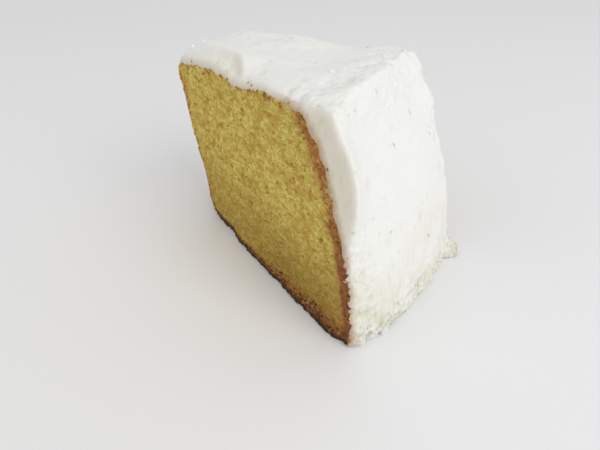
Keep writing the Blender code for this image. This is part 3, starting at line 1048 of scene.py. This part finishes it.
def make_smears(surface, finish):
    making = Making("icing_smears", SMEAR_SIZES)
    near_top = making.fall(making.attribute("to_top"), *SMEAR_FROM_TOP)
    near_side = making.fall(making.attribute("to_side"), *SMEAR_FROM_SIDE)
    patch = making.spots(making.place, SMEAR_PATCH_SIZE, 0.48, 0.62, seed=61.0, detail=3.0)
    density = near_top.most(near_side * 0.7) * patch * making.attribute("cut")
    density = density * making.size("Smears Per Area")
    smears = making.scatter(density, "Smear Radius", 2, 0.4, 1.4, 60, SMEAR_SQUASH)
    smears = making.bend(SMEAR_BEND_SIZE, 63.0, smears)
    return making.run(smears, surface, "icing_smears", finish)


left_blobs = make_blobs(icing.data.copy(), icing_material)
cut_smears = make_smears(sponge.data.copy(), icing_material)
for blobs in (left_blobs, cut_smears):
    keep_off_floor(blobs)
    # Froth at 1 keeps the painted hollow shade off the blobs and smears.
    write_attribute(blobs.data, "froth", [1.0] * len(blobs.data.vertices))
    blobs.data.shade_smooth()
    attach(blobs, "root")


# The stray crumbs: yellow and toasted bits of sponge that the knife dragged into the cut
# side of the icing. They stick there close to the sponge, with a few further out.
STRAY_SIZES = {
    "Crumb Radius": 0.00042,
    "Crumbs Per Area": 0.34e6,
    "Bend": 0.0004,
}
STRAY_SQUASH = (1.0, 0.85, 0.7)
STRAY_BEND_SIZE = 0.0010
STRAY_PATCH_SIZE = 0.0060
STRAY_MOTTLE_SIZE = 0.0006
STRAY_CLOSE = (0.0004, 0.0024)
STRAY_FAR = (0.0020, 0.0075)
STRAY_FAR_SHARE = 0.012


def stray_finish():
    """Toasted, yellow or dark, each crumb with its own tone."""
    finish = Finish("stray_crumb", GRAIN_GLOSS)
    tone = finish.attribute("tone")
    colour = finish.mix(finish.rise(tone, 0.30, 0.34), CRUST_BROWN, CRUMB_AMBER)
    colour = finish.mix(finish.rise(tone, 0.62, 0.66), colour, CRUMB_PALE)
    colour = finish.mix(finish.rise(tone, 0.96, 0.98), colour, CRUST_DARK)
    mottle = finish.blotches(finish.place, STRAY_MOTTLE_SIZE, seed=2.0, detail=3.0)
    finish.feed("Base Color", finish.mix(mottle * 0.5, colour, CRUST_TAN))
    finish.bump(finish.blotches(finish.place, GRAIN_BUMP_SIZE, seed=11.0), GRAIN_BUMP, 0.8)
    return finish.material


def make_strays(surface, finish):
    making = Making("stray_crumbs", STRAY_SIZES)
    from_sponge = making.attribute("to_sponge")
    patch = making.spots(making.place, STRAY_PATCH_SIZE, 0.45, 0.60, seed=71.0, detail=3.0)
    close = making.fall(from_sponge, *STRAY_CLOSE) * patch
    further = making.fall(from_sponge, *STRAY_FAR) * STRAY_FAR_SHARE
    shown = making.attribute("cut") * (1.0 - making.attribute("inner"))
    density = close.most(further) * shown * making.size("Crumbs Per Area")
    crumbs = making.scatter(density, "Crumb Radius", 1, 0.45, 1.3, 70, STRAY_SQUASH)
    crumbs = making.bend(STRAY_BEND_SIZE, 73.0, crumbs)
    return making.run(crumbs, surface, "stray_crumbs", finish)


strays = make_strays(icing.data.copy(), stray_finish())
keep_off_floor(strays)
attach(strays, "root")


# The zest: fine slivers of grated lemon peel that were stirred into the icing. They lie half
# sunk in its skin, scattered thinly, with more of them in the lump at the far end of the foot.
ZEST_SIZES = {
    "Sliver Length": 0.0009,
    "Slivers Per Area": 0.0045e6,
    "Lump Slivers Per Area": 0.35e6,
    "Bend": 0.0006,
}
SLIVER_SQUASH = (1.0, 0.26, 0.12)
SLIVER_BEND_SIZE = 0.0014
FAR_LUMP_ALONG = (0.042, 0.046)
FAR_LUMP_BACK = (0.0255, 0.0275)
FAR_LUMP_RISE = (0.004, 0.008)
ZEST_GLOSS = {"Roughness": 0.6}
ZEST_PALE = (0.79, 0.77, 0.60)
ZEST_GREEN = (0.68, 0.65, 0.33)


def zest_finish():
    """Pale yellow peel, some slivers stronger and a little green."""
    finish = Finish("lemon_zest", ZEST_GLOSS)
    tone = finish.attribute("tone")
    finish.feed("Base Color", finish.mix(finish.rise(tone, 0.4, 0.9), ZEST_PALE, ZEST_GREEN))
    return finish.material


def make_zest(surface, finish):
    making = Making("lemon_zest", ZEST_SIZES)
    along, back, height = (making.part(making.place, letter) for letter in "XYZ")
    lump = making.rise(back, *FAR_LUMP_BACK) * making.fall(height, *FAR_LUMP_RISE)
    lump = lump * making.rise(along, *FAR_LUMP_ALONG)
    density = making.size("Slivers Per Area") + lump * making.size("Lump Slivers Per Area")
    density = density * (1.0 - making.attribute("inner"))
    slivers = making.scatter(density, "Sliver Length", 2, 0.4, 1.0, 80, SLIVER_SQUASH)
    slivers = making.bend(SLIVER_BEND_SIZE, 83.0, slivers)
    return making.run(slivers, surface, "lemon_zest", finish)


zest = make_zest(icing.data.copy(), zest_finish())
keep_off_floor(zest)
zest.data.shade_smooth()
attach(zest, "root")


# The floor: a plain pale surface with a soft matt finish, wide enough to fill every view.
# It isn't part of the cake, and only carries its shadow.
FLOOR_WIDTH = 4.0
FLOOR_CLOUD_SIZE = 0.35
FLOOR_GREY = (0.85, 0.855, 0.875)
FLOOR_PALE = (0.88, 0.885, 0.90)
FLOOR_GLOSS = {"Roughness": 0.55}
bpy.ops.mesh.primitive_plane_add(size=FLOOR_WIDTH, location=(0.0, 0.0, 0.0))
floor = bpy.context.object
floor.name = "floor"
floor_finish = Finish("pale_floor", FLOOR_GLOSS)
floor_cloud = floor_finish.blotches(floor_finish.place, FLOOR_CLOUD_SIZE)
floor_finish.feed("Base Color", floor_finish.mix(floor_cloud, FLOOR_GREY, FLOOR_PALE))
floor.data.materials.append(floor_finish.material)


# The light: a bright soft room, with one large soft window to the right and a weaker one
# in front, both turned to the middle of the cake.
CAKE_MIDDLE = Vector((0.0, 0.0, 0.035))
ROOM_COLOUR = (0.985, 0.985, 0.975, 1.0)
ROOM_STRENGTH = 0.66


def soft_light(name, at, size, power, colour):
    lamp = bpy.data.lights.new(name, "AREA")
    lamp.shape = "DISK"
    lamp.size = size
    lamp.energy = power
    lamp.color = colour
    holder = put(name, lamp)
    holder.location = at
    holder.rotation_euler = (CAKE_MIDDLE - Vector(at)).to_track_quat("-Z", "Y").to_euler()


soft_light("window", at=(0.95, -0.15, 0.85), size=0.9, power=6.0, colour=(1.0, 0.99, 0.97))
soft_light("fill", at=(-0.55, -0.90, 0.60), size=0.9, power=1.0, colour=(1.0, 0.95, 0.88))
world = bpy.data.worlds.new("bright_room")
world.use_nodes = True
world.node_tree.nodes["Background"].inputs["Color"].default_value = ROOM_COLOUR
world.node_tree.nodes["Background"].inputs["Strength"].default_value = ROOM_STRENGTH
bpy.context.scene.world = world
bpy.context.scene.view_settings.view_transform = "Standard"


# The camera stands where the photograph was taken from: close, a little above the slice,
# looking down at the near cut and round to the iced side.
CAMERA_FROM_RING = Vector((0.15634, -0.11165, 0.11251))
CAMERA_HEADING = radians(38.85)
CAMERA_PITCH = radians(36.37)
CAMERA_ROLL = radians(0.49)
FOCAL_SHARE = 485.0 / 600.0
SENSOR_WIDTH = 36.0
camera_data = bpy.data.cameras.new("camera")
camera_data.sensor_width = SENSOR_WIDTH
camera_data.lens = SENSOR_WIDTH * FOCAL_SHARE
camera_data.clip_start = 0.01
camera = put("camera", camera_data)
turned = Matrix.Rotation(CAMERA_HEADING, 4, "Z")
turned = turned @ Matrix.Rotation(radians(90.0) - CAMERA_PITCH, 4, "X")
turned = turned @ Matrix.Rotation(CAMERA_ROLL, 4, "Z")
camera.matrix_world = Matrix.Translation(RING_MIDDLE + CAMERA_FROM_RING) @ turned
bpy.context.scene.camera = camera
